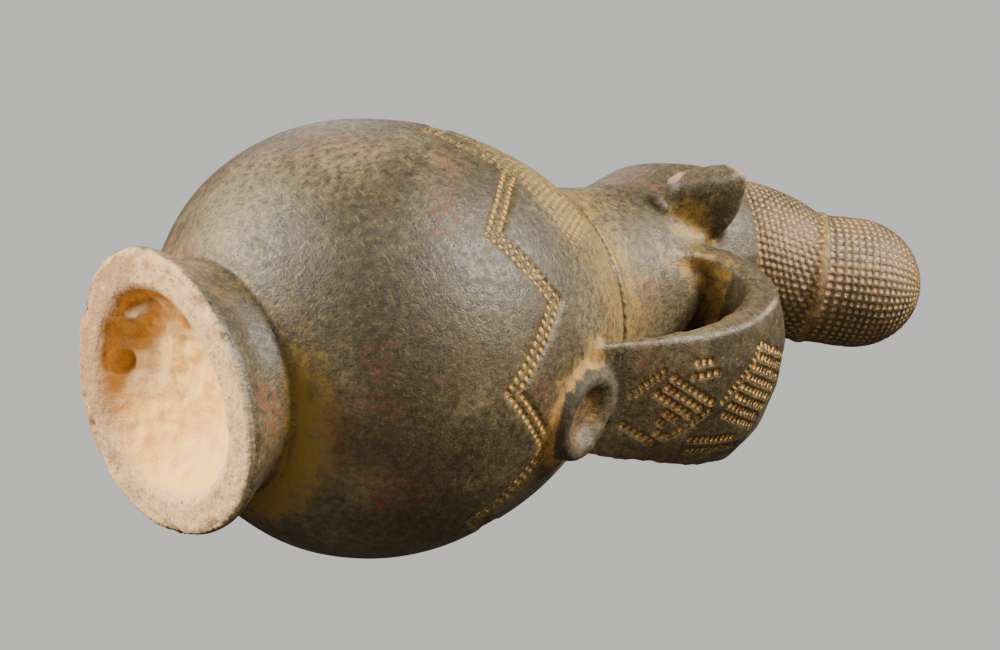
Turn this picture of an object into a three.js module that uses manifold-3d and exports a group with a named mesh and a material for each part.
// A burnished clay jar with a human head: a hollow globular body on a flared foot, a neck that
// becomes the head, hair drawn back into a rounded lobe, two ears, a broad strap handle from the
// shoulder to the nape and a small cupped disc at the handle's root. It is one piece of fired clay.
// Millimetres, +Z up. The face looks along -Y and the handle is at the back, on +Y.
import * as THREE from "three";
import { mergeVertices } from "three/addons/utils/BufferGeometryUtils.js";
import Module from "manifold-3d";

const wasm = await Module();
wasm.setup();

// Driving dimensions
const FOOT_RADIUS = 45;
const FOOT_HEIGHT = 22.3;
const BELLY_RADIUS = 73.1;
const BELLY_Z = 81;
const COLLAR_RADIUS = 45;
const COLLAR_Z = 157.5;
const WALL = 7;
const NECK_RADIUS = 37;
const HEAD_SIDE_X = -4.5;
const HEAD_Y = 1;
const HEAD_Z = 228;
const HEAD_TILT = THREE.MathUtils.degToRad(14);
const HAIR_Y = 9.5;
const HAIR_Z = 253.6;
const HAIR_TILT = THREE.MathUtils.degToRad(52);
const LOBE_TILT = THREE.MathUtils.degToRad(35.5);
const RIDGE_AT = 31.6;
const LOBE_LENGTH = 43;
const STRAP_NEAR_X = 22.5;
const EAR_AT = new THREE.Vector3(45.6, 18.5, 216);
const DISC_AT = new THREE.Vector3(1.5, 65.3, 117.1);
const DISC_TILT = THREE.MathUtils.degToRad(76);
const DISC_YAW = 0.128;
const MOUTH_RADIUS = 11;
const MOUTH_Y = 6.5;

const SEGMENTS = { body: 48, cavity: 24, hair: 32, head: 32 };

const clay = new THREE.MeshStandardMaterial({ color: 0x5a5040, roughness: 0.5, metalness: 0 });

// Helpers

// Moves every vertex of a geometry by a function of its place.
function shaped(geometry, move) {
  const at = geometry.getAttribute("position");
  const v = new THREE.Vector3();
  for (let i = 0; i < at.count; i++) {
    v.fromBufferAttribute(at, i);
    v.copy(move(v.clone()));
    at.setXYZ(i, v.x, v.y, v.z);
  }
  return geometry;
}

// A closed geometry as a solid, turned outward if its faces point in.
function solid(geometry) {
  const g = geometry.clone();
  g.deleteAttribute("normal");
  g.deleteAttribute("uv");
  const merged = mergeVertices(g, 1e-3);
  const vertProperties = new Float32Array(merged.attributes.position.array);
  const triVerts = new Uint32Array(merged.index.array);
  const made = new wasm.Manifold(new wasm.Mesh({ numProp: 3, vertProperties, triVerts }));
  if (made.volume() > 0) return made;
  for (let i = 0; i < triVerts.length; i += 3) {
    [triVerts[i + 1], triVerts[i + 2]] = [triVerts[i + 2], triVerts[i + 1]];
  }
  return new wasm.Manifold(new wasm.Mesh({ numProp: 3, vertProperties, triVerts }));
}

// A turned form about +Z from [radius, z] pairs that start and end on the axis.
function turned(pairs, segments) {
  const outline = pairs.map(([r, z]) => new THREE.Vector2(r, z));
  return new THREE.LatheGeometry(outline, segments).rotateX(Math.PI / 2);
}

// Points spread evenly along a smooth curve through a few [radius, z] pairs.
function smooth(pairs, steps) {
  const curve = new THREE.SplineCurve(pairs.map(([r, z]) => new THREE.Vector2(r, z)));
  return curve.getSpacedPoints(steps).map((p) => [p.x, p.y]);
}

// A closed form swept along a path: frame(t) gives its centre and two half axes at t from 0 to 1.
function swept(around, along, frame) {
  return shaped(new THREE.CylinderGeometry(1, 1, 1, around, along), (v) => {
    const { centre, across, out, section } = frame(0.5 - v.y);
    const [a, b] = section(v.x, v.z);
    return centre.clone().addScaledVector(across, a).addScaledVector(out, b);
  });
}

const mix = (a, b, t) => a + (b - a) * t;
const ease = THREE.MathUtils.smoothstep;
const hump = (x, width) => Math.exp(-((x / width) ** 2));

const FOOT_UNEVEN = { share: 0.024, corners: 3, turn: 0.16 };

// The hand-built body leans a little to one side as it rises, and its foot is not quite round.
function lean(v) {
  const bulge = Math.cos(FOOT_UNEVEN.corners * Math.atan2(v.x, v.y) - FOOT_UNEVEN.turn);
  const uneven = FOOT_UNEVEN.share * bulge * (1 - ease(v.z, 6, 20));
  v.x *= 1 + uneven;
  v.y *= 1 + uneven;
  const drift = 0.00025 * v.z * v.z - 0.008 * v.z;
  v.x -= 0.737 * drift;
  v.y += 0.676 * drift;
  return v;
}

// Body, foot and neck

function bodyOutline() {
  const recess = smooth([[0, 13.5], [14, 13], [26, 8.5], [33, 1.2]], 5);
  const sole = [[35, 0], [FOOT_RADIUS - 0.4, 0], [FOOT_RADIUS + 1, 0.9], [FOOT_RADIUS + 0.8, 3.2]];
  const footSide = smooth([[43.6, 7.2], [40.4, 12.5], [38.9, 18], [38.6, FOOT_HEIGHT]], 3);
  const belly = smooth([
    [38.9, FOOT_HEIGHT + 0.6], [47, 28], [62.3, 45], [70.3, 63], [BELLY_RADIUS, BELLY_Z],
    [71.5, 99], [67.2, 117], [59.6, 135], [51.8, 148.5], [COLLAR_RADIUS, COLLAR_Z],
  ], 15);
  const collar = [[42.3, 158.8], [42.3, 160.2], [43.4, 161.2], [42.4, 162.8]];
  const neck = smooth([[40.6, 164.6], [38.6, 175], [NECK_RADIUS, 190], [36.4, 214]], 3);
  return [...recess, ...sole, ...footSide, ...belly, ...collar, ...neck, [0, 214]];
}

function body() {
  return solid(shaped(turned(bodyOutline(), SEGMENTS.body), lean));
}

function bodyCavity() {
  const inside = smooth([
    [22, 25.5], [38, 33], [54.5, 47], [62.6, 63], [BELLY_RADIUS - WALL, BELLY_Z],
    [64.2, 99], [59.8, 116], [51.5, 132], [42.5, 146], [35, 157],
  ], 12);
  const neck = [[31.6, 166], [NECK_RADIUS - WALL, 188], [28.5, 206], [23, 222]];
  return solid(shaped(turned([[0, 25], ...inside, ...neck, [0, 222]], SEGMENTS.cavity), lean));
}

// Hair: a first length behind the hairline, a raised fillet, then the rounded lobe

// The bent axis of the hair: a place and the direction across it at a length s from the hairline.
function hairFrame(s) {
  const back = new THREE.Vector3(0, Math.sin(HAIR_TILT), Math.cos(HAIR_TILT));
  const lobe = new THREE.Vector3(0, Math.sin(LOBE_TILT), Math.cos(LOBE_TILT));
  const centre = new THREE.Vector3(HEAD_SIDE_X, HAIR_Y, HAIR_Z);
  centre.addScaledVector(back, Math.min(s, RIDGE_AT));
  centre.addScaledVector(lobe, Math.max(s - RIDGE_AT, 0));
  const tilt = mix(HAIR_TILT, LOBE_TILT, ease(s, RIDGE_AT - 9, RIDGE_AT + 9));
  return { centre, front: new THREE.Vector3(0, -Math.cos(tilt), Math.sin(tilt)) };
}

function alongHair(v) {
  const { centre, front } = hairFrame(v.z);
  return new THREE.Vector3(centre.x + v.x, centre.y + v.y * front.y, centre.z + v.y * front.z);
}

function hair() {
  const first = smooth([[29, 0], [28.8, 9], [27, 20], [24.2, RIDGE_AT - 2.2]], 3);
  const fillet = [[24.8, RIDGE_AT - 0.7], [24.8, RIDGE_AT + 0.9], [24, RIDGE_AT + 2.4]];
  const end = RIDGE_AT + LOBE_LENGTH;
  const round = end - 26;
  const lobe = smooth([[24, RIDGE_AT + 6], [24.3, RIDGE_AT + 12], [24.3, round]], 2);
  for (let i = 1; i < 6; i++) {
    const turn = (i / 6) * (Math.PI / 2);
    lobe.push([24.3 * Math.cos(turn), round + 26 * Math.sin(turn)]);
  }
  const outline = [[0, -20], [22, -18], [28, -1], ...first, ...fillet, ...lobe, [0, end]];
  return solid(shaped(turned(outline, SEGMENTS.hair), alongHair));
}

function hairCavity() {
  const end = RIDGE_AT + LOBE_LENGTH - 8.5;
  const inside = [[0, -22], [14, -16], [17.5, 0], [16, RIDGE_AT], [16.5, end - 18], [11, end - 6]];
  return solid(shaped(turned([...inside, [0, end]], 18), alongHair));
}

// Head

// Half depths of the head, in millimetres along its tilted axis h from the neck to the crown.
const HEAD_HALF = { height: 49, side: 34.5, front: 37, back: 36 };

// How far the face stands out at x across and h up it: thirds from hairline to brow, nose, chin.
function faceRelief(x, h) {
  const side = Math.abs(x);
  const noseWidth = mix(3.6, 7.4, ease(-h, -16, 7));
  let out = 10.5 * hump(x, noseWidth) * ease(-h, -19, 6) * ease(h, -12.5, -7);
  out += 2.6 * hump(x, 13) * (hump(h + 17.3, 2.4) + hump(h + 22.6, 2.6));
  out -= 1.4 * hump(x, 11) * hump(h + 19.9, 1.3);
  out += 3.6 * hump(x, 13) * hump(h + 33, 8);
  out += 2.4 * hump(side - 14, 11) * hump(h - 18, 4);
  out -= 3.4 * hump(side - 14.5, 8.5) * hump(h - 8, 6.5);
  out += 4.2 * hump(side - 14.5, 6.4) * hump(h - 7.6, 3.6);
  out += 2 * hump(side - 20, 8) * hump(h + 6, 9);
  return out;
}

function headPoint(v) {
  const around = Math.atan2(v.x, -v.y);
  const turn = around - 0.42 * Math.sin(around);
  const ring = Math.hypot(v.x, v.y) ** 0.84;
  const facing = Math.cos(turn);
  const jaw = 1 - 0.2 * ease(-v.z, 0, 0.9);
  const x = HEAD_HALF.side * jaw * ring * Math.sin(turn);
  const h = HEAD_HALF.height * v.z;
  let depth = (facing > 0 ? HEAD_HALF.front : HEAD_HALF.back) * ring * facing;
  depth += faceRelief(x, h) * ease(facing, 0.1, 0.55) * ease(ring, 0.3, 0.6);
  const along = new THREE.Vector3(0, Math.sin(HEAD_TILT), Math.cos(HEAD_TILT));
  const front = new THREE.Vector3(0, -Math.cos(HEAD_TILT), Math.sin(HEAD_TILT));
  const centre = new THREE.Vector3(HEAD_SIDE_X + x, HEAD_Y, HEAD_Z);
  return centre.addScaledVector(along, h).addScaledVector(front, depth);
}

function head() {
  const ball = new THREE.SphereGeometry(1, SEGMENTS.head, 24).rotateX(Math.PI / 2);
  return solid(shaped(ball, headPoint));
}

// The room in the head that joins the neck, the hair and the mouth
function headCavity() {
  const ball = new THREE.SphereGeometry(1, 20, 12).rotateX(Math.PI / 2);
  const room = (v) => new THREE.Vector3(HEAD_SIDE_X + 26 * v.x, 1 + 25 * v.y, 228 + 30 * v.z);
  return solid(shaped(ball, room));
}

function mouth() {
  const shaft = turned([[0, 232], [MOUTH_RADIUS, 232], [MOUTH_RADIUS, 312], [0, 312]], 20);
  return solid(shaft.translate(HEAD_SIDE_X, MOUTH_Y, 0));
}

const EAR = { out: 4.6, root: 23, half: 14.8, depth: 6.8, slant: 0.12 };
const EAR_HOLLOW = { out: -4, front: -7.2, reach: 7.5, depth: 6, half: 10.2 };

// An ear: a cup with a nearly straight outer rim, narrowing to its root in the head and open in front
function ear(side) {
  const at = new THREE.Vector3(HEAD_SIDE_X + side * EAR_AT.x, EAR_AT.y, EAR_AT.z);
  const turnTo = new THREE.Euler(THREE.MathUtils.degToRad(-36), side * 0.2, side * -0.12);
  const place = (out, back, up) => (
    new THREE.Vector3(side * (out + EAR.slant * up), back, up).applyEuler(turnTo).add(at)
  );
  const fuller = (c, power) => Math.sign(c) * Math.abs(c) ** power;
  const flap = shaped(new THREE.SphereGeometry(1, 14, 10), (v) => {
    const out = (v.x > 0 ? EAR.out : EAR.root) * v.x;
    return place(out, EAR.depth * fuller(v.y, 0.75), EAR.half * fuller(v.z, 0.8));
  });
  const { out, front, reach, depth, half } = EAR_HOLLOW;
  const hollow = shaped(new THREE.SphereGeometry(1, 12, 7), (v) => (
    place(out + reach * v.x, front + depth * v.y, half * v.z)
  ));
  return solid(flap).subtract(solid(hollow));
}

// Handle

// The line of the handle's inner face, as [y, z] from inside the shoulder to inside the nape
const strapLine = new THREE.CatmullRomCurve3([
  [57, 119], [61, 132], [65.8, 150], [67.6, 164], [67.7, 176], [65.8, 188], [62.2, 196.5],
  [57.8, 203], [52.6, 207.4], [46, 209.2], [39.2, 207.6], [33, 200.5], [27.5, 189],
].map(([y, z]) => new THREE.Vector3(0, y, z)));

// Values along the handle, as [share of its length, value] pairs
const STRAP_FAR_X = [
  [0, -19], [0.3, -28], [0.4, -32.2], [0.5, -35.8], [0.62, -41.7], [0.75, -39.5], [0.9, -28], [1, -26],
];
const STRAP_EDGE = [[0, 3], [0.26, 4], [0.42, 7], [0.53, 9], [0.66, 12], [0.8, 9.5], [1, 8]];
const STRAP_CROWN = [[0, 0.5], [0.14, 2], [0.42, 5], [0.6, 8], [0.7, 8.2], [1, 6.5]];

function valueAt(pairs, t) {
  const i = Math.max(1, pairs.findIndex(([at]) => at >= t));
  const [t0, a] = pairs[i - 1];
  const [t1, b] = pairs[i];
  return mix(a, b, ease(t, t0, t1) * 0.5 + ((t - t0) / (t1 - t0)) * 0.5);
}

// The strap has flat rims along its two edges, and its outer face is crowned between them.
function strapFrame(t) {
  const farX = valueAt(STRAP_FAR_X, t);
  const run = strapLine.getTangentAt(t);
  const centre = strapLine.getPointAt(t).setX((STRAP_NEAR_X + farX) / 2);
  const out = new THREE.Vector3(0, run.z, -run.y);
  const edge = valueAt(STRAP_EDGE, t);
  const crown = valueAt(STRAP_CROWN, t);
  const squared = (c) => THREE.MathUtils.clamp(c * 1.5, -1, 1);
  const section = (x, z) => {
    const across = ((STRAP_NEAR_X - farX) / 2) * squared(x);
    const face = edge * (0.5 + 0.5 * squared(z));
    return [across, face + (z > 0.5 ? crown * (1 - Math.abs(squared(x)) ** 2.6) : 0)];
  };
  return { centre, across: new THREE.Vector3(1, 0, 0), out, section };
}

function handle() {
  return solid(swept(16, 17, strapFrame));
}

// The cupped disc on the shoulder at the handle's root
function disc() {
  const outline = [
    [0, -9], [17, -9], [16.4, 2], [15.8, 6], [14.6, 7.8], [12.8, 7.9], [10.4, 6.4], [7.4, 3.2],
    [5.6, 0.4], [3, -0.8], [0, -1],
  ];
  const lie = turned(outline, 18).rotateX(-DISC_TILT).rotateZ(-DISC_YAW);
  return solid(lie.translate(DISC_AT.x, DISC_AT.y, DISC_AT.z));
}

// The zigzag band round the shoulder, as a shallow groove that follows the body

const ZIGZAG = { peaks: 9, phase: -0.035, middle: 109.2, rise: 11, dip: 17.6, width: 5.2, depth: 0.9 };

const bellyRadius = (z) => {
  const pairs = bodyOutline();
  const i = pairs.findIndex(([r, h], n) => n > 12 && h > z && r > FOOT_RADIUS);
  const [r0, z0] = pairs[i - 1];
  const [r1, z1] = pairs[i];
  return mix(r0, r1, (z - z0) / (z1 - z0));
};

function zigzagPoint(angle, out, up) {
  const part = ((angle - ZIGZAG.phase) * ZIGZAG.peaks) / (2 * Math.PI);
  const wave = 4 * Math.abs(part - Math.floor(part) - 0.5) - 1;
  const z = ZIGZAG.middle + ZIGZAG.rise * wave - ZIGZAG.dip * Math.cos(angle + 0.09) + up;
  const r = bellyRadius(z) + out;
  return lean(new THREE.Vector3(r * Math.sin(angle), r * Math.cos(angle), z));
}

function zigzag() {
  const ring = new THREE.TorusGeometry(10, 1, 3, ZIGZAG.peaks * 4);
  return solid(shaped(ring, (v) => {
    const inner = Math.hypot(v.x, v.y) > 10.1;
    const angle = Math.atan2(v.x, v.y) + ZIGZAG.phase;
    return zigzagPoint(angle, inner ? -ZIGZAG.depth : 2, (v.z * ZIGZAG.width) / 1.6);
  }));
}

// The whole jar, moved so that the origin is at the foot's level in the middle of its outline

function jar() {
  const outside = [head(), hair(), ear(1), ear(-1), handle(), disc()];
  const rooms = [bodyCavity(), headCavity(), hairCavity(), mouth()];
  let whole = body().subtract(zigzag());
  for (const part of outside) whole = whole.add(part);
  for (const room of rooms) whole = whole.subtract(room);
  const { numProp, vertProperties, triVerts } = whole.getMesh();
  const at = new Float32Array((vertProperties.length / numProp) * 3);
  for (let i = 0; i * 3 < at.length; i++) {
    at.set(vertProperties.subarray(i * numProp, i * numProp + 3), i * 3);
  }
  const geometry = new THREE.BufferGeometry();
  geometry.setAttribute("position", new THREE.BufferAttribute(at, 3));
  geometry.setIndex(new THREE.BufferAttribute(triVerts, 1));
  geometry.computeBoundingBox();
  const middle = geometry.boundingBox.getCenter(new THREE.Vector3());
  geometry.translate(-middle.x, -middle.y, -geometry.boundingBox.min.z);
  geometry.computeVertexNormals();
  const mesh = new THREE.Mesh(geometry, clay);
  mesh.name = "jar";
  return mesh;
}

const group = new THREE.Group();
group.add(jar());
export default group;
